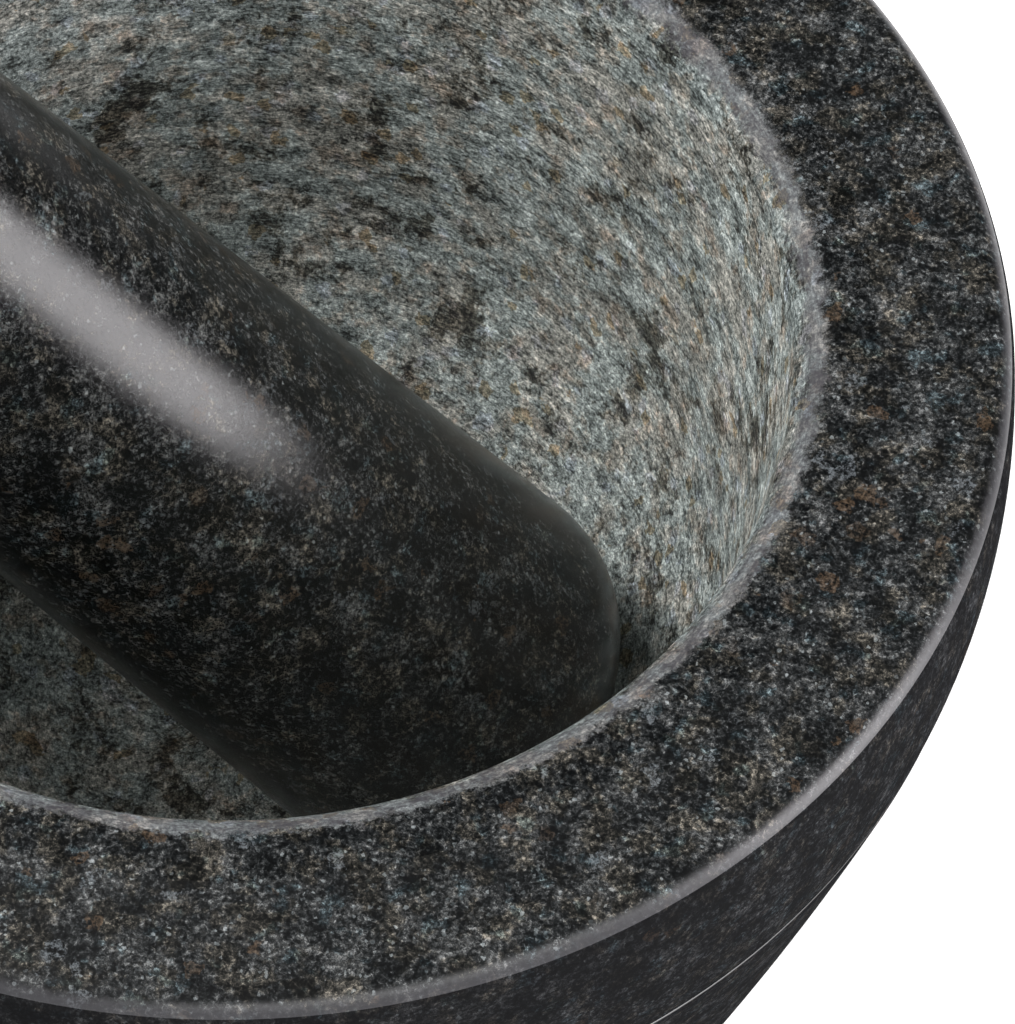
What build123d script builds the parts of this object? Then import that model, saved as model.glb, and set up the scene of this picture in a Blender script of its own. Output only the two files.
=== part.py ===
from build123d import *
import os
from math import atan2, cos, radians, sin, sqrt, tan

# A molcajete: a round granite mortar turned on a lathe, with a loose pestle leaning in its bowl.
# Millimetres, +Z up. The origin is the centre of the mortar's flat base, and the pestle lies in
# the XZ plane with its handle towards -X.

# Mortar, outside
HEIGHT = 120.0  # flat base to the top of the rim
BELLY_DIAMETER = 190.0  # widest ring of the polished upper band
BELLY_DROP = 17.0  # rim down to the widest ring
RIM_INSET = 1.6  # belly in to the outside of the rim, before its edge is rounded
GROOVE_INSET = 1.2  # belly in to the wall beside the turned groove
GROOVE_DROP = 30.4  # rim down to the middle of the turned groove
GROOVE_WIDTH = 0.8
GROOVE_DEPTH = 0.4
FOOT_INSET = 21.0  # belly in to the base, before its edge is rounded
WALL_BULGE = 0.9  # how far the lower wall bows out from a straight taper
RIM_EDGE_RADIUS = 3.4
FOOT_EDGE_RADIUS = 5.0

# Mortar, inside
MOUTH_DIAMETER = 135.8  # bowl wall carried up to the rim, before the lip is rounded
LIP_RADIUS = 5.3
BOWL_DEPTH = 101.2  # rim down to the middle of the bowl's floor
WALL_DRAFT = 4.5  # degrees that the bowl's wall leans in on the way down
FLOOR_RADIUS = 88.0  # dish of the floor
CORNER_RADIUS = 42.0  # round between the wall and the floor

# Pestle
PESTLE_LENGTH = 204.0
GRINDING_DIAMETER = 54.6  # grinding end, before its edge is rounded
GRINDING_CROWN_RADIUS = 47.0  # dome across the grinding end
GRINDING_EDGE_RADIUS = 18.0
HANDLE_DIAMETER = 40.4  # handle end, before its edge is rounded
HANDLE_CROWN_RADIUS = 34.0  # dome across the handle end
HANDLE_EDGE_RADIUS = 13.0

# How the pestle rests
LEAN = 48.0  # degrees from level up to the pestle's axis
REST_GAP = 0.25  # clearance at the lip and at the bowl's floor
SETTLING_STEPS = 24


def corner(face, x, z):
    """The vertex of a half section nearest to a point."""
    return face.vertices().sort_by_distance(Vector(x, 0, z))[0]


def crown_height(diameter, crown_radius):
    """How far a dome of that radius stands above its own rim."""
    return crown_radius - sqrt(crown_radius**2 - (diameter / 2) ** 2)


def both_sides(half_section):
    """The whole section, from the half at +X."""
    return half_section + mirror(half_section, Plane.YZ)


def block_section():
    """The mortar's half section without its bowl."""
    belly = Vector(BELLY_DIAMETER / 2, 0, HEIGHT - BELLY_DROP)
    rim = Vector(belly.X - RIM_INSET, 0, HEIGHT)
    groove = Vector(belly.X - GROOVE_INSET, 0, HEIGHT - GROOVE_DROP)
    above = groove + Vector(0, 0, GROOVE_WIDTH / 2)
    valley = groove - Vector(GROOVE_DEPTH, 0, 0)
    below = groove - Vector(0, 0, GROOVE_WIDTH / 2)
    foot = Vector(belly.X - FOOT_INSET, 0, 0)
    waist = (below + foot) / 2 + Vector(WALL_BULGE, 0, 0)
    outline = [
        Line((0, 0, 0), (0, 0, HEIGHT)),
        Line((0, 0, HEIGHT), rim),
        ThreePointArc(rim, belly, above),
        Line(above, valley),
        Line(valley, below),
        ThreePointArc(below, waist, foot),
        Line(foot, (0, 0, 0)),
    ]
    block = make_face(outline).face()
    block = block.fillet_2d(RIM_EDGE_RADIUS, [corner(block, rim.X, rim.Z)])
    return block.fillet_2d(FOOT_EDGE_RADIUS, [corner(block, foot.X, foot.Z)])


def bowl_section():
    """The half section of the space inside the bowl: a drafted wall cut off by a dished floor."""
    mouth = MOUTH_DIAMETER / 2
    deepest = HEIGHT - BOWL_DEPTH
    wall_foot = mouth - BOWL_DEPTH * tan(radians(WALL_DRAFT))
    outline = [(0, 0, deepest), (wall_foot, 0, deepest), (mouth, 0, HEIGHT), (0, 0, HEIGHT)]
    funnel = make_face(Polyline(*outline, close=True))
    dish = Plane.XZ * Pos(0, deepest + FLOOR_RADIUS) * Circle(FLOOR_RADIUS)
    bowl = (funnel & dish).face()
    wall_end = bowl.vertices().sort_by(Axis.X)[-2]
    return bowl.fillet_2d(CORNER_RADIUS, [wall_end])


def mortar_section():
    """The half section of the finished mortar."""
    section = (block_section() - bowl_section()).face()
    return section.fillet_2d(LIP_RADIUS, [corner(section, MOUTH_DIAMETER / 2, HEIGHT)])


def pestle_section():
    """The half section of the pestle, standing on its grinding end with its tip at the origin."""
    grinding_crown = crown_height(GRINDING_DIAMETER, GRINDING_CROWN_RADIUS)
    handle_crown = crown_height(HANDLE_DIAMETER, HANDLE_CROWN_RADIUS)
    grinding_side = Vector(GRINDING_DIAMETER / 2, 0, grinding_crown)
    handle_side = Vector(HANDLE_DIAMETER / 2, 0, PESTLE_LENGTH - handle_crown)
    outline = [
        TangentArc((0, 0, 0), grinding_side, tangent=(1, 0, 0)),
        Line(grinding_side, handle_side),
        TangentArc((0, 0, PESTLE_LENGTH), handle_side, tangent=(1, 0, 0)),
        Line((0, 0, PESTLE_LENGTH), (0, 0, 0)),
    ]
    pestle = make_face(outline).face()
    pestle = pestle.fillet_2d(GRINDING_EDGE_RADIUS, [corner(pestle, grinding_side.X, grinding_side.Z)])
    return pestle.fillet_2d(HANDLE_EDGE_RADIUS, [corner(pestle, handle_side.X, handle_side.Z)])


def leaning_on_lip(reach):
    """The pestle's place when its shaft lies on the lip at a distance of reach from its tip."""
    low = crown_height(GRINDING_DIAMETER, GRINDING_CROWN_RADIUS)
    high = PESTLE_LENGTH - crown_height(HANDLE_DIAMETER, HANDLE_CROWN_RADIUS)
    narrowing = (GRINDING_DIAMETER - HANDLE_DIAMETER) / 2
    shaft_radius = GRINDING_DIAMETER / 2 - narrowing * (reach - low) / (high - low)
    side_slope = radians(LEAN) + atan2(narrowing, high - low)
    draft = radians(WALL_DRAFT)
    lip_offset = MOUTH_DIAMETER / 2 + LIP_RADIUS * (1 / cos(draft) - tan(draft))
    stand_off = LIP_RADIUS + REST_GAP
    touch_x = -lip_offset + stand_off * sin(side_slope)
    touch_z = HEIGHT - LIP_RADIUS + stand_off * cos(side_slope)
    return Pos(touch_x, 0, touch_z) * Rotation(0, LEAN - 90, 0) * Pos(shaft_radius, 0, -reach)


def resting_place(mortar_half, pestle_half):
    """Slides the leaning pestle down over the lip until its end stands off the bowl's floor."""
    mortar = both_sides(mortar_half)
    pestle = both_sides(pestle_half)
    clear = PESTLE_LENGTH / 4
    buried = PESTLE_LENGTH
    for _ in range(SETTLING_STEPS):
        middle = (clear + buried) / 2
        gap = mortar.distance_to(leaning_on_lip(middle) * pestle)
        if gap < 0.99 * REST_GAP:
            buried = middle
        else:
            clear = middle
    return leaning_on_lip(clear)


def main():
    mortar_half = mortar_section()
    pestle_half = pestle_section()
    mortar = revolve(mortar_half, Axis.Z)
    pestle = resting_place(mortar_half, pestle_half) * revolve(pestle_half, Axis.Z)
    os.makedirs("parts", exist_ok=True)
    for name, shape in {"mortar": mortar, "pestle": pestle}.items():
        export_step(shape, f"parts/{name}.step")


main()
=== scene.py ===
"""Molcajete: a polished granite mortar with its pestle leaning in the rough-ground bowl.

Metres, +Z up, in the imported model's frame: the mortar turns about the Z axis and stands on z = 0,
and the pestle leans in the XZ plane with its handle towards -X.
"""

import math

import bpy
from mathutils import Matrix, Vector


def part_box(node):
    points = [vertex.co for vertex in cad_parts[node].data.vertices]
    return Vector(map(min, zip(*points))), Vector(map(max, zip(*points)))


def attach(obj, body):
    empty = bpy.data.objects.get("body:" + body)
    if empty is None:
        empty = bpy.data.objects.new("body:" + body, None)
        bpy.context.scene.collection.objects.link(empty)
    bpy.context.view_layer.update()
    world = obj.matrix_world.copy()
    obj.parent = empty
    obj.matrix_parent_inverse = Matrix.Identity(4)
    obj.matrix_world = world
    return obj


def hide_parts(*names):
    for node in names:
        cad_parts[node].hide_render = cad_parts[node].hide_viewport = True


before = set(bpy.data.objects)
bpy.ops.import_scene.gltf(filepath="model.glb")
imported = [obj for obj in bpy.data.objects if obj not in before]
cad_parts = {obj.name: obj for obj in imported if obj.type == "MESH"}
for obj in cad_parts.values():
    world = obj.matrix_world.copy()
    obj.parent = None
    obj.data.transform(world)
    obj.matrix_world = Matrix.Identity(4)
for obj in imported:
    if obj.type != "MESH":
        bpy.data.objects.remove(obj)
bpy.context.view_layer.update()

MM = 0.001

# Mortar profile
MORTAR_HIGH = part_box("mortar")[1]
RIM_Z = MORTAR_HIGH[2]
BELLY_RADIUS = MORTAR_HIGH[0]
BELLY_DROP = 17.0 * MM
RIM_INSET = 1.6 * MM
GROOVE_INSET = 1.2 * MM
GROOVE_DROP = 30.4 * MM
GROOVE_WIDTH = 0.8 * MM
GROOVE_DEPTH = 0.4 * MM
FOOT_INSET = 21.0 * MM
WALL_BULGE = 0.9 * MM
RIM_EDGE_RADIUS = 3.4 * MM
FOOT_EDGE_RADIUS = 5.0 * MM
MOUTH_RADIUS = 67.9 * MM
LIP_RADIUS = 5.3 * MM
BOWL_FLOOR_Z = RIM_Z - 101.2 * MM
WALL_DRAFT = math.radians(4.5)
FLOOR_RADIUS = 88.0 * MM
CORNER_RADIUS = 42.0 * MM

# Pestle profile
PESTLE_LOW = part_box("pestle")[0]
PESTLE_LENGTH = 204.0 * MM
GRINDING_RADIUS = 27.3 * MM
GRINDING_CROWN_RADIUS = 47.0 * MM
GRINDING_EDGE_RADIUS = 18.0 * MM
HANDLE_RADIUS = 20.2 * MM
HANDLE_CROWN_RADIUS = 34.0 * MM
HANDLE_EDGE_RADIUS = 13.0 * MM
LEAN = math.radians(48.0)

# Mesh fineness
MORTAR_TURNS = 256
PESTLE_TURNS = 192
OUTLINE_STEP = 2.5 * MM
SMOOTH_UP_TO = math.radians(35)

# The mortar's finishes, in the order of its material slots
BOWL, LIP, RIM_TOP, OUTSIDE = range(4)
LIP_BAND = 5.0 * MM  # past the lip's round, with the ragged start of the polish in it
FLOOR_MARGIN = 1.0 * MM

# Ramps, as (place, linear RGB colour) stops
POLISHED_TONES = [
    (0.53, (0.0013, 0.0016, 0.0018)),
    (0.59, (0.0066, 0.0077, 0.0081)),
    (0.64, (0.0255, 0.0274, 0.0283)),
    (0.69, (0.0840, 0.0880, 0.0890)),
    (0.76, (0.2600, 0.2650, 0.2630)),
]
FLAKE_TONES = [
    (0.965, (0.0, 0.0, 0.0)),
    (0.980, (0.030, 0.035, 0.037)),
    (1.000, (0.140, 0.154, 0.158)),
]
GROUND_TONES = [
    (0.53, (0.010, 0.011, 0.011)),
    (0.60, (0.072, 0.080, 0.078)),
    (0.67, (0.205, 0.226, 0.220)),
    (0.75, (0.430, 0.456, 0.446)),
    (0.84, (0.920, 0.940, 0.920)),
]
ACRYLIC_TONES = [(0.3, (0.86, 0.86, 0.86)), (0.7, (0.88, 0.88, 0.88))]

# Colours that are mixed in
THREAD_GREY = (0.115, 0.110, 0.100)
RUST = (0.078, 0.050, 0.029)
SPOT_GREY = (0.120, 0.134, 0.146)
MATT_GREY = (0.080, 0.077, 0.087)
# grey of the rim's outer edge: partly matt wear, partly a painted highlight of its rounding
WORN_EDGE_AND_HIGHLIGHT_GREY = (0.075, 0.074, 0.080)
HONED_GREY = (0.017, 0.017, 0.018)
# the groove's pale grey: partly unpolished stone, partly a painted highlight along its edges
GROOVE_PALE_AND_HIGHLIGHT_GREY = (0.42, 0.42, 0.42)

# Tints that a colour is multiplied by
BROWN_TINT = (1.32, 1.14, 0.92)
BLUE_TINT = (1.00, 1.30, 1.42)
DARK_TINT = (0.70, 0.60, 0.50)
COOL_TINT = (0.95, 1.00, 0.99)
WARM_TINT = (1.05, 0.98, 0.91)
PINK_TINT = (0.98, 0.84, 0.76)
OCHRE_TINT = (0.76, 0.58, 0.38)
LILAC_TINT = (1.15, 1.16, 1.30)
LIP_TINT = (0.68, 0.69, 0.70)
WALL_TINT = (0.55, 0.55, 0.57)
PESTLE_TINT = (0.64, 0.64, 0.62)

# Surface
GROUND_ROUGHNESS = 0.62
POLISHED_ROUGHNESS = (0.24, 0.38)
HONED_ROUGHNESS = (0.34, 0.46)
PESTLE_ROUGHNESS = (0.12, 0.26)
WORN_ROUGHNESS = 0.34
GROOVE_ROUGHNESS = 0.6
FLOOR_ROUGHNESS = 0.7
GROUND_BUMP = 0.24 * MM
POLISHED_BUMP = 0.16 * MM
FLOOR_BUMP = 0.01 * MM
POLISHED_RELIEF = 0.06  # share of the grain's height that the polish leaves
PESTLE_RELIEF = 0.15

# Where the finishes and the painted edge highlights change, in millimetres, as the start and end of a soft
# step
MATT_STARTS = (-5.2, -3.8)  # outwards, from the ragged line round the lip
POLISH_STARTS = (-2.7, -1.5)
WEAR_AND_HIGHLIGHT_ENDS = (1.0, 2.3)  # inwards, from the rim's outer edge
GROOVE_ENDS = (0.12, 0.36)  # up and down, from the groove's middle
TOOTH_REACH = 6.5
WEAR_AND_HIGHLIGHT_WANDER = 1.4
MARK_DRIFT = 4.0
MARK_RADIUS = 65.0  # from the axis, where the turning marks have their stated length

# Stage
FLOOR_SIZE = 30.0
FLOOR_GLOW = 0.38
SKY_COLOUR = (0.96, 0.98, 1.0, 1.0)
SKY_STRENGTH = 0.08

# Camera, placed round the middle of the rim
LENS = 168.4
SENSOR_WIDTH = 36.0
CAMERA_AZIMUTH = math.radians(13.0)
CAMERA_ELEVATION = math.radians(55.22)
CAMERA_DISTANCE = 0.570
CAMERA_AIM = Vector((37.8 * MM, -21.3 * MM, RIM_Z))
CAMERA_ROLL = math.radians(5.08)


# --- Outlines, as (radius, height) points ---------------------------------------------------------


def arc(centre, radius, start, end, steps):
    """Points on a circle from one angle to another."""
    turns = (start + (end - start) * i / steps for i in range(steps + 1))
    return [Vector((centre[0] + radius * math.cos(a), centre[1] + radius * math.sin(a))) for a in turns]


def arc_between(centre, first, last, steps):
    """Points on a circle the short way round from one of its points to another."""
    start = math.atan2(first[1] - centre[1], first[0] - centre[0])
    end = math.atan2(last[1] - centre[1], last[0] - centre[0])
    sweep = (end - start + math.pi) % (2 * math.pi) - math.pi
    return arc(centre, math.dist(centre, first), start, start + sweep, steps)


def arc_through(first, middle, last, steps):
    """Points on the circle through three points."""
    (ax, ay), (bx, by), (cx, cy) = first, middle, last
    a2, b2, c2 = (p[0] * p[0] + p[1] * p[1] for p in (first, middle, last))
    twice_area = 2 * (ax * (by - cy) + bx * (cy - ay) + cx * (ay - by))
    x = (a2 * (by - cy) + b2 * (cy - ay) + c2 * (ay - by)) / twice_area
    y = (a2 * (cx - bx) + b2 * (ax - cx) + c2 * (bx - ax)) / twice_area
    return arc_between((x, y), first, last, steps)


def bend_centre(dish_centre, dish_radius, point, direction, radius):
    """Centre of the arc that joins the inside of a dish to a wall at its right.

    The wall passes through the point, and the direction runs along it away from the dish.
    """
    inward = Vector((-direction.y, direction.x))
    start = point + inward * radius - dish_centre
    along = start.dot(direction)
    room = (dish_radius - radius) ** 2 - start.length_squared + along * along
    return dish_centre + start - direction * (along + math.sqrt(room))


def dished(dish_centre, dish_radius, point, direction, radius, steps):
    """From the middle of a dish, across it and round its edge to where the wall starts."""
    centre = bend_centre(dish_centre, dish_radius, point, direction, radius)
    outward = Vector((direction.y, -direction.x))
    edge = dish_centre + (centre - dish_centre).normalized() * dish_radius
    middle = dish_centre - Vector((0, math.copysign(dish_radius, direction.y)))
    across = arc_between(dish_centre, middle, edge, steps)
    return across + arc_between(centre, edge, centre + outward * radius, steps)[1:]


def rounded(points, place, radius, steps):
    """An outline with its corner nearest to a place replaced by an arc tangent to both sides."""
    index = min(range(len(points)), key=lambda i: (points[i] - place).length)
    corner = points[index]
    before = (points[index - 1] - corner).normalized()
    after = (points[index + 1] - corner).normalized()
    half = before.angle(after) / 2
    reach = radius / math.tan(half)
    centre = corner + (before + after).normalized() * (radius / math.sin(half))
    bend = arc_between(centre, corner + before * reach, corner + after * reach, steps)
    kept_before = [p for p in points[:index] if (p - corner).length > reach]
    kept_after = [p for p in points[index + 1:] if (p - corner).length > reach]
    return kept_before + bend + kept_after


def spaced(points, step):
    """The same outline, with no stretch longer than the step."""
    result = [points[0]]
    for last, following in zip(points, points[1:]):
        count = max(1, math.ceil((following - last).length / step))
        result += [last.lerp(following, i / count) for i in range(1, count + 1)]
    return result


def mortar_outline():
    """From the middle of the bowl's floor, over the rim and down to the middle of the base."""
    wall_up = Vector((math.sin(WALL_DRAFT), math.cos(WALL_DRAFT)))
    mouth = Vector((MOUTH_RADIUS, RIM_Z))
    dish_centre = Vector((0, BOWL_FLOOR_Z + FLOOR_RADIUS))
    floor = dished(dish_centre, FLOOR_RADIUS, mouth, wall_up, CORNER_RADIUS, steps=40)
    rim = Vector((BELLY_RADIUS - RIM_INSET, RIM_Z))
    belly = Vector((BELLY_RADIUS, RIM_Z - BELLY_DROP))
    groove = Vector((BELLY_RADIUS - GROOVE_INSET, RIM_Z - GROOVE_DROP))
    half_groove = Vector((0, GROOVE_WIDTH / 2))
    foot = Vector((BELLY_RADIUS - FOOT_INSET, 0))
    waist = (groove - half_groove + foot) / 2 + Vector((WALL_BULGE, 0))
    band = arc_through(rim, belly, groove + half_groove, steps=24)
    valley = groove - Vector((GROOVE_DEPTH, 0))
    lower = arc_through(groove - half_groove, waist, foot, steps=40)
    points = floor + [mouth] + band + [valley] + lower + [Vector((0, 0))]
    points = rounded(points, foot, FOOT_EDGE_RADIUS, steps=12)
    points = rounded(points, rim, RIM_EDGE_RADIUS, steps=14)
    points = rounded(points, mouth, LIP_RADIUS, steps=18)
    return spaced(points, OUTLINE_STEP)


def crown_height(radius, crown_radius):
    """How far a dome of that crown radius stands above its own rim."""
    return crown_radius - math.sqrt(crown_radius**2 - radius**2)


def pestle_outline():
    """From the middle of the grinding end to the middle of the handle end."""
    low = Vector((GRINDING_RADIUS, crown_height(GRINDING_RADIUS, GRINDING_CROWN_RADIUS)))
    high_drop = crown_height(HANDLE_RADIUS, HANDLE_CROWN_RADIUS)
    high = Vector((HANDLE_RADIUS, PESTLE_LENGTH - high_drop))
    up = (high - low).normalized()
    low_centre = Vector((0, GRINDING_CROWN_RADIUS))
    bottom = dished(low_centre, GRINDING_CROWN_RADIUS, low, up, GRINDING_EDGE_RADIUS, steps=24)
    high_centre = Vector((0, HANDLE_CROWN_RADIUS))
    turned_over = Vector((HANDLE_RADIUS, high_drop))
    narrowing = Vector((-up.x, up.y))
    top = dished(high_centre, HANDLE_CROWN_RADIUS, turned_over, narrowing, HANDLE_EDGE_RADIUS, steps=20)
    flipped = [Vector((p.x, PESTLE_LENGTH - p.y)) for p in reversed(top)]
    return spaced(bottom + flipped, OUTLINE_STEP)


# --- Meshes ---------------------------------------------------------------------------------------


def lathe(name, outline, turns):
    """A closed solid of revolution about Z from an outline that starts and ends on the axis."""
    rings = outline[1:-1]
    verts = [Vector((0, 0, outline[0].y)), Vector((0, 0, outline[-1].y))]
    first = len(verts)
    last = first + (len(rings) - 1) * turns
    for p in rings:
        for i in range(turns):
            angle = 2 * math.pi * i / turns
            verts.append(Vector((p.x * math.cos(angle), p.x * math.sin(angle), p.y)))
    faces = []
    for i in range(turns):
        j = (i + 1) % turns
        faces.append((0, first + i, first + j))
        for ring in range(first, last, turns):
            faces.append((ring + j, ring + i, ring + turns + i, ring + turns + j))
        faces.append((1, last + j, last + i))
    mesh = bpy.data.meshes.new(name)
    mesh.from_pydata(verts, [], faces)
    mesh.shade_smooth()
    mesh.set_sharp_from_angle(angle=SMOOTH_UP_TO)
    piece = bpy.data.objects.new(name, mesh)
    bpy.context.scene.collection.objects.link(piece)
    return piece


def mortar_zone(place):
    """Which of the mortar's finishes a place on its surface has."""
    radius = math.hypot(place.x, place.y)
    if place.z < RIM_Z - LIP_RADIUS:
        return BOWL if radius < MOUTH_RADIUS and place.z > BOWL_FLOOR_Z - FLOOR_MARGIN else OUTSIDE
    if radius < MOUTH_RADIUS + LIP_RADIUS + LIP_BAND:
        return LIP
    return RIM_TOP if radius < BELLY_RADIUS - RIM_INSET else OUTSIDE


def make_mortar():
    mortar = lathe("mortar_stone_block", mortar_outline(), MORTAR_TURNS)
    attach(mortar, "mortar_stone")
    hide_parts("mortar")
    for material in (bowl_material(), lip_material(), rim_material(), wall_material()):
        mortar.data.materials.append(material)
    for face in mortar.data.polygons:
        face.material_index = mortar_zone(face.center)


def make_pestle():
    """Turned upright, then leaned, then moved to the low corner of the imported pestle's box."""
    pestle = lathe("pestle_stone_rod", pestle_outline(), PESTLE_TURNS)
    pestle.data.transform(Matrix.Rotation(LEAN - math.pi / 2, 4, "Y"))
    low = [min(v.co[k] for v in pestle.data.vertices) for k in range(3)]
    shift = Vector(PESTLE_LOW) - Vector(low)
    shift.y = 0
    pestle.data.transform(Matrix.Translation(shift))
    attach(pestle, "pestle_stone")
    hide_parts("pestle")
    pestle.data.materials.append(pestle_material())


# --- Materials, patterned in millimetres ----------------------------------------------------------


class Graph:
    """A node material under construction. Values are sockets or plain numbers."""

    def __init__(self, name):
        self.material = bpy.data.materials.new(name)
        self.material.use_nodes = True
        self.tree = self.material.node_tree
        self.tree.nodes.clear()

    def node(self, kind, values, **settings):
        made = self.tree.nodes.new(kind)
        for key, value in settings.items():
            setattr(made, key, value)
        for key, value in values.items():
            if isinstance(value, bpy.types.NodeSocket):
                self.tree.links.new(value, made.inputs[key])
            else:
                made.inputs[key].default_value = value
        return made

    def math(self, operation, a, b=0.0):
        return self.node("ShaderNodeMath", {0: a, 1: b}, operation=operation).outputs[0]

    def inverse(self, mask):
        """One minus the mask."""
        return self.math("SUBTRACT", 1.0, mask)

    def weighted(self, terms):
        """The sum of (value, weight) products."""
        total, *others = [self.math("MULTIPLY", value, weight) for value, weight in terms]
        for other in others:
            total = self.math("ADD", total, other)
        return total

    def vector(self, operation, a, b):
        return self.node("ShaderNodeVectorMath", {0: a, 1: b}, operation=operation).outputs[0]

    def noise(self, point, scale, detail=2.0, roughness=0.5, distortion=0.0):
        values = {"Vector": point, "Scale": scale, "Detail": detail}
        values.update({"Roughness": roughness, "Distortion": distortion})
        return self.node("ShaderNodeTexNoise", values).outputs["Fac"]

    def cells(self, point, scale):
        """Three random numbers for each grain."""
        colour = self.node("ShaderNodeTexVoronoi", {"Vector": point, "Scale": scale}).outputs["Color"]
        return self.node("ShaderNodeSeparateColor", {0: colour}).outputs

    def coordinates(self, point):
        return self.node("ShaderNodeSeparateXYZ", {0: point}).outputs

    def ramp(self, factor, stops):
        made = self.node("ShaderNodeValToRGB", {0: factor})
        elements = made.color_ramp.elements
        while len(elements) < len(stops):
            elements.new(1.0)
        for element, (place, colour) in zip(elements, stops):
            element.position = place
            element.color = (*colour, 1.0)
        return made.outputs[0]

    def step(self, factor, low, high):
        """0 below one value and 1 above another, with a smooth rise between."""
        values = {0: factor, 1: low, 2: high, 3: 0.0, 4: 1.0}
        return self.node("ShaderNodeMapRange", values, interpolation_type="SMOOTHSTEP").outputs[0]

    def patches(self, point, low, high, **noise):
        """A mask of soft-edged patches: a step across a noise."""
        return self.step(self.noise(point, **noise), low, high)

    def between(self, factor, a, b):
        return self.node("ShaderNodeMix", {0: factor, 2: a, 3: b}, data_type="FLOAT").outputs[0]

    def blend(self, factor, a, b, mode="MIX"):
        colours = {key: self.as_colour(value) for key, value in ((6, a), (7, b))}
        values = {0: factor, **colours}
        return self.node("ShaderNodeMix", values, data_type="RGBA", blend_type=mode).outputs[2]

    @staticmethod
    def as_colour(value):
        return (*value, 1.0) if isinstance(value, tuple) else value

    def multiplied(self, colour, tint):
        return self.blend(1.0, colour, tint, "MULTIPLY")

    def tinted(self, colour, mask, strength, tint):
        """The colour multiplied by a tint where the mask is."""
        return self.blend(self.math("MULTIPLY", mask, strength), colour, tint, "MULTIPLY")

    def painted(self, colour, mask, strength, paint):
        """The colour mixed towards another where the mask is."""
        return self.blend(self.math("MULTIPLY", mask, strength), colour, paint)

    def millimetres(self):
        """The object's own coordinates, in millimetres."""
        place = self.node("ShaderNodeTexCoord", {}).outputs["Object"]
        return self.node("ShaderNodeVectorMath", {0: place, "Scale": 1 / MM}, operation="SCALE").outputs[0]

    def finish(self, colour, roughness, height, bump_distance, specular=0.35, glow=0.0):
        """The material, with a bump of that many metres from a height of 0 to 1."""
        bump = self.node("ShaderNodeBump", {"Height": height, "Distance": bump_distance, "Strength": 1.0})
        values = {"Base Color": colour, "Roughness": roughness, "Normal": bump.outputs[0], "IOR": 1.5}
        values["Specular IOR Level"] = specular
        values["Emission Color"] = (1.0, 1.0, 1.0, 1.0)
        values["Emission Strength"] = glow
        shader = self.node("ShaderNodeBsdfPrincipled", values)
        self.node("ShaderNodeOutputMaterial", {"Surface": shader.outputs[0]})
        return self.material


def warped(graph, point, scale, amount):
    """Coordinates shaken so that grains get ragged edges."""
    shake = graph.node("ShaderNodeTexNoise", {"Vector": point, "Scale": scale}).outputs["Color"]
    shake = graph.vector("SUBTRACT", shake, (0.5, 0.5, 0.5))
    shake = graph.vector("MULTIPLY", shake, (amount, amount, amount))
    return graph.vector("ADD", point, shake)


def elsewhere(graph, point, x, y, z):
    """Coordinates in another part of the noise, so that two patterns don't coincide."""
    return graph.vector("ADD", point, (x, y, z))


def threads(graph, point):
    """A mask of thin lines, where a distorted noise crosses its middle value."""
    crossing = graph.math("SUBTRACT", graph.noise(point, 1.7, roughness=0.6, distortion=1.4), 0.5)
    return graph.inverse(graph.step(graph.math("ABSOLUTE", crossing), 0.004, 0.024))


def polished_granite(graph, point):
    """Near-black stone: a felt of grey and brown grains, with rust spots, threads and pale flakes.

    Gives its colour and the felt, which is also its height.
    """
    ragged = warped(graph, point, 2.0, 0.7)
    clusters = graph.noise(point, 0.20, detail=5.0, roughness=0.80)
    felt = graph.noise(ragged, 1.35, detail=5.0, roughness=0.86)
    colour = graph.ramp(graph.weighted([(felt, 0.78), (clusters, 0.42)]), POLISHED_TONES)
    brown = graph.patches(ragged, 0.48, 0.60, scale=0.26, detail=3.0, roughness=0.6)
    colour = graph.tinted(colour, brown, 0.85, BROWN_TINT)
    blue = graph.patches(elsewhere(graph, ragged, 31.0, 7.0, 13.0), 0.57, 0.66, scale=0.36)
    colour = graph.tinted(colour, blue, 0.85, BLUE_TINT)
    thread = graph.math("MULTIPLY", threads(graph, point), graph.step(clusters, 0.48, 0.60))
    colour = graph.painted(colour, thread, 0.45, THREAD_GREY)
    spots = graph.cells(warped(graph, point, 1.0, 1.5), 0.50)
    rust = graph.math("MULTIPLY", graph.step(spots[0], 0.972, 0.985), graph.step(felt, 0.42, 0.60))
    colour = graph.painted(colour, rust, 0.7, RUST)
    pale = graph.math("MULTIPLY", graph.step(spots[1], 0.976, 0.986), graph.step(felt, 0.46, 0.60))
    colour = graph.painted(colour, pale, 0.7, SPOT_GREY)
    flakes = graph.ramp(graph.cells(warped(graph, point, 3.5, 0.25), 2.6)[1], FLAKE_TONES)
    flaked = graph.blend(1.0, colour, flakes, "ADD")
    return graph.blend(graph.step(clusters, 0.38, 0.56), colour, flaked), felt


def radius_of(graph, point):
    """Distance from the mortar's axis."""
    flat = graph.vector("MULTIPLY", point, (1.0, 1.0, 0.0))
    return graph.node("ShaderNodeVectorMath", {0: flat}, operation="LENGTH").outputs["Value"]


def around(graph, point, length):
    """Coordinates in which circles about Z are stretched, for marks left by turning.

    A feature comes out about as many times longer round the axis as the length says.
    """
    x, y, z = graph.coordinates(point)
    radius = radius_of(graph, point)
    off_axis = graph.math("MAXIMUM", radius, 0.001)
    per_turn = MARK_RADIUS / length
    across = graph.math("MULTIPLY", graph.math("DIVIDE", x, off_axis), per_turn)
    along = graph.math("MULTIPLY", graph.math("DIVIDE", y, off_axis), per_turn)
    drift = graph.math("MULTIPLY", graph.noise(point, 0.05), MARK_DRIFT)
    meridian = graph.math("ADD", graph.math("ADD", radius, z), drift)
    return graph.node("ShaderNodeCombineXYZ", {0: across, 1: along, 2: meridian}).outputs[0]


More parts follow.
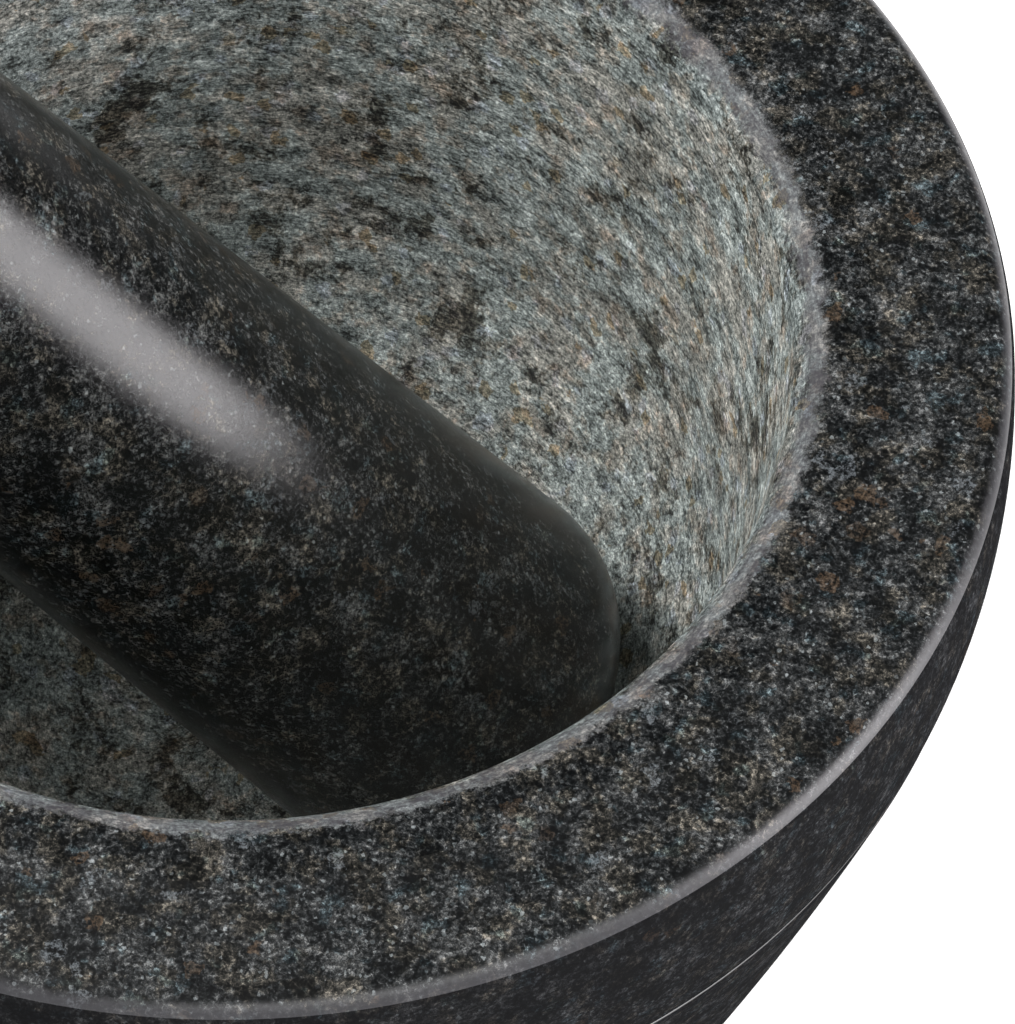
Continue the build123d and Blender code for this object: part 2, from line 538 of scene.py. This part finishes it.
def ground_granite(graph, point):
    """The same stone ground rough: pale grey-green grit, combed by faint marks round the bowl.

    Gives its colour and its height.
    """
    marks = graph.noise(around(graph, point, 3.4), 2.4, roughness=0.75)
    grit = graph.noise(point, 2.0, detail=3.0, roughness=0.85)
    ragged = warped(graph, point, 1.5, 1.1)
    grains = graph.cells(ragged, 1.9)[0]
    drawn_out = around(graph, warped(graph, point, 0.8, 2.0), 2.0)
    mottle = graph.noise(drawn_out, 0.42, detail=4.0, roughness=0.72)
    stained = warped(graph, point, 0.5, 4.0)
    dark = graph.patches(stained, 0.53, 0.62, scale=0.10, detail=5.0, roughness=0.76)
    tone = graph.weighted([(marks, 0.30), (grit, 0.52), (grains, 0.08), (mottle, 0.46), (dark, -0.085)])
    colour = graph.tinted(graph.ramp(tone, GROUND_TONES), dark, 0.80, DARK_TINT)
    shifted = elsewhere(graph, point, 9.0, 3.0, 27.0)
    warm = graph.patches(shifted, 0.46, 0.58, scale=0.11, detail=4.0, roughness=0.7)
    colour = graph.multiplied(colour, graph.blend(warm, COOL_TINT, WARM_TINT))
    shifted = elsewhere(graph, ragged, 5.0, 17.0, 2.0)
    pink = graph.patches(shifted, 0.55, 0.63, scale=0.27, detail=3.0, roughness=0.6)
    colour = graph.tinted(colour, pink, 0.85, PINK_TINT)
    blotch = graph.cells(warped(graph, point, 1.2, 1.2), 0.55)[2]
    colour = graph.tinted(colour, graph.step(blotch, 0.955, 0.965), 0.8, OCHRE_TINT)
    colour = graph.tinted(colour, graph.step(graph.inverse(blotch), 0.93, 0.95), 0.8, LILAC_TINT)
    return colour, graph.math("ADD", marks, grit)


def toothed_edge(graph, point):
    """Distance outside the line where the rough grinding meets the polish, with ragged teeth."""
    teeth = graph.math("SUBTRACT", graph.noise(point, 0.42, detail=5.0, roughness=0.85), 0.5)
    outside = graph.math("SUBTRACT", radius_of(graph, point), (MOUTH_RADIUS + LIP_RADIUS) / MM)
    return graph.math("ADD", outside, graph.math("MULTIPLY", teeth, TOOTH_REACH))


def glossy(graph, point, roughness):
    """A roughness that varies from grain to grain between the least and the most."""
    least, most = roughness
    return graph.between(graph.noise(point, 0.9), least, most)


def bowl_material():
    """The bowl, ground rough all over."""
    graph = Graph("ground granite")
    colour, height = ground_granite(graph, graph.millimetres())
    return graph.finish(colour, GROUND_ROUGHNESS, height, GROUND_BUMP)


def lip_material():
    """The lip, where the rough bowl turns into a matt band and then into the polish."""
    graph = Graph("lip granite")
    point = graph.millimetres()
    dark, dark_height = polished_granite(graph, point)
    pale, pale_height = ground_granite(graph, point)
    edge = toothed_edge(graph, point)
    matt = graph.step(edge, *MATT_STARTS)
    polished = graph.step(edge, *POLISH_STARTS)
    pale = graph.painted(graph.multiplied(pale, LIP_TINT), matt, 0.60, MATT_GREY)
    colour = graph.blend(polished, pale, dark)
    roughness = graph.between(polished, GROUND_ROUGHNESS, glossy(graph, point, POLISHED_ROUGHNESS))
    coarse = graph.math("MULTIPLY", pale_height, graph.between(matt, 1.0, 0.4))
    height = graph.between(polished, coarse, graph.math("MULTIPLY", dark_height, POLISHED_RELIEF))
    return graph.finish(colour, roughness, height, POLISHED_BUMP, specular=0.15)


def rim_material():
    """The polished top of the rim. Its outer edge is worn matt and painted paler, and the pale colour
    partly stands in for a painted highlight along the rounded edge.
    """
    graph = Graph("rim granite")
    point = graph.millimetres()
    colour, height = polished_granite(graph, point)
    inside = graph.math("SUBTRACT", (BELLY_RADIUS - RIM_INSET) / MM, radius_of(graph, point))
    wander = graph.math("MULTIPLY", graph.noise(point, 1.1, detail=4.0, roughness=0.7), WEAR_AND_HIGHLIGHT_WANDER)
    worn_and_highlight = graph.inverse(graph.step(graph.math("ADD", inside, wander), *WEAR_AND_HIGHLIGHT_ENDS))
    # outer edge painted paler: partly matt wear, partly a painted highlight of the rounded edge
    colour = graph.painted(colour, worn_and_highlight, 0.6, WORN_EDGE_AND_HIGHLIGHT_GREY)
    roughness = graph.between(worn_and_highlight, glossy(graph, point, POLISHED_ROUGHNESS), WORN_ROUGHNESS)
    relief = graph.math("MULTIPLY", height, POLISHED_RELIEF)
    return graph.finish(colour, roughness, relief, POLISHED_BUMP)


def wall_material():
    """The outside of the mortar, honed rather than polished, with a turned groove painted pale: partly its
    unpolished stone, partly a painted highlight along its edges.
    """
    graph = Graph("wall granite")
    point = graph.millimetres()
    colour, height = polished_granite(graph, point)
    level = graph.coordinates(point)[2]
    from_groove = graph.math("ABSOLUTE", graph.math("SUBTRACT", level, (RIM_Z - GROOVE_DROP) / MM))
    groove = graph.inverse(graph.step(from_groove, *GROOVE_ENDS))
    honed = graph.blend(0.55, graph.multiplied(colour, WALL_TINT), HONED_GREY)
    # the groove painted pale, partly as a painted highlight along its edges
    colour = graph.blend(groove, honed, GROOVE_PALE_AND_HIGHLIGHT_GREY)
    roughness = graph.between(groove, glossy(graph, point, HONED_ROUGHNESS), GROOVE_ROUGHNESS)
    relief = graph.math("MULTIPLY", height, POLISHED_RELIEF)
    return graph.finish(colour, roughness, relief, POLISHED_BUMP, specular=0.0)


def pestle_material():
    """The pestle, more highly polished than the mortar, with duller pale grains."""
    graph = Graph("pestle granite")
    colour, height = polished_granite(graph, graph.millimetres())
    smooth, dull = PESTLE_ROUGHNESS
    colour = graph.multiplied(colour, PESTLE_TINT)
    roughness = graph.between(graph.step(height, 0.42, 0.60), smooth, dull)
    relief = graph.math("MULTIPLY", height, PESTLE_RELIEF)
    return graph.finish(colour, roughness, relief, POLISHED_BUMP, specular=0.38)


def floor_material():
    """Pale acrylic, faintly lit from below."""
    graph = Graph("pale floor")
    shade = graph.noise(graph.millimetres(), 0.02, detail=3.0)
    colour = graph.ramp(shade, ACRYLIC_TONES)
    return graph.finish(colour, FLOOR_ROUGHNESS, shade, FLOOR_BUMP, glow=FLOOR_GLOW)


# --- Stage ----------------------------------------------------------------------------------------


def make_floor():
    bpy.ops.mesh.primitive_plane_add(size=FLOOR_SIZE, location=(0, 0, 0))
    floor = bpy.context.object
    floor.name = "floor"
    floor.data.materials.append(floor_material())


def softbox(name, azimuth, elevation, distance, width, height, radiance, tint):
    """A rectangular light that faces the bowl; the azimuth turns from +X towards +Y, in degrees."""
    around_z, up = math.radians(azimuth), math.radians(elevation)
    towards = Vector((math.cos(around_z) * math.cos(up), math.sin(around_z) * math.cos(up), math.sin(up)))
    light = bpy.data.lights.new(name, "AREA")
    light.shape = "RECTANGLE"
    light.size, light.size_y = width, height
    light.energy = radiance * math.pi * width * height
    light.color = tint
    lamp = bpy.data.objects.new(name, light)
    lamp.location = Vector((0, 0, RIM_Z)) + towards * distance
    lamp.rotation_euler = towards.to_track_quat("Z", "Y").to_euler()
    bpy.context.scene.collection.objects.link(lamp)


def make_lights():
    softbox("left_key", azimuth=180, elevation=50, distance=1.5, width=0.9, height=0.9,
            radiance=14.5, tint=(1.0, 0.99, 0.98))
    softbox("right_panel", azimuth=-3, elevation=18, distance=1.2, width=0.70, height=0.80,
            radiance=9.8, tint=(1.0, 0.97, 0.99))
    softbox("front_fill", azimuth=-52, elevation=50, distance=1.5, width=1.2, height=0.6,
            radiance=4.6, tint=(1.0, 1.0, 1.0))
    world = bpy.data.worlds.new("studio")
    world.use_nodes = True
    sky = world.node_tree.nodes["Background"]
    sky.inputs["Color"].default_value = SKY_COLOUR
    sky.inputs["Strength"].default_value = SKY_STRENGTH
    bpy.context.scene.world = world


def make_camera():
    camera = bpy.data.cameras.new("camera")
    camera.lens = LENS
    camera.sensor_width = SENSOR_WIDTH
    eye = bpy.data.objects.new("camera", camera)
    level = math.cos(CAMERA_ELEVATION)
    back = Vector((math.sin(CAMERA_AZIMUTH) * level, -math.cos(CAMERA_AZIMUTH) * level,
                   math.sin(CAMERA_ELEVATION)))
    eye.location = Vector((0, 0, RIM_Z)) + back * CAMERA_DISTANCE
    look = (CAMERA_AIM - eye.location).to_track_quat("-Z", "Y").to_matrix()
    eye.rotation_euler = (look @ Matrix.Rotation(CAMERA_ROLL, 3, "Z")).to_euler()
    bpy.context.scene.collection.objects.link(eye)
    bpy.context.scene.camera = eye


make_mortar()
make_pestle()
make_floor()
make_lights()
make_camera()
bpy.context.scene.view_settings.view_transform = "Standard"
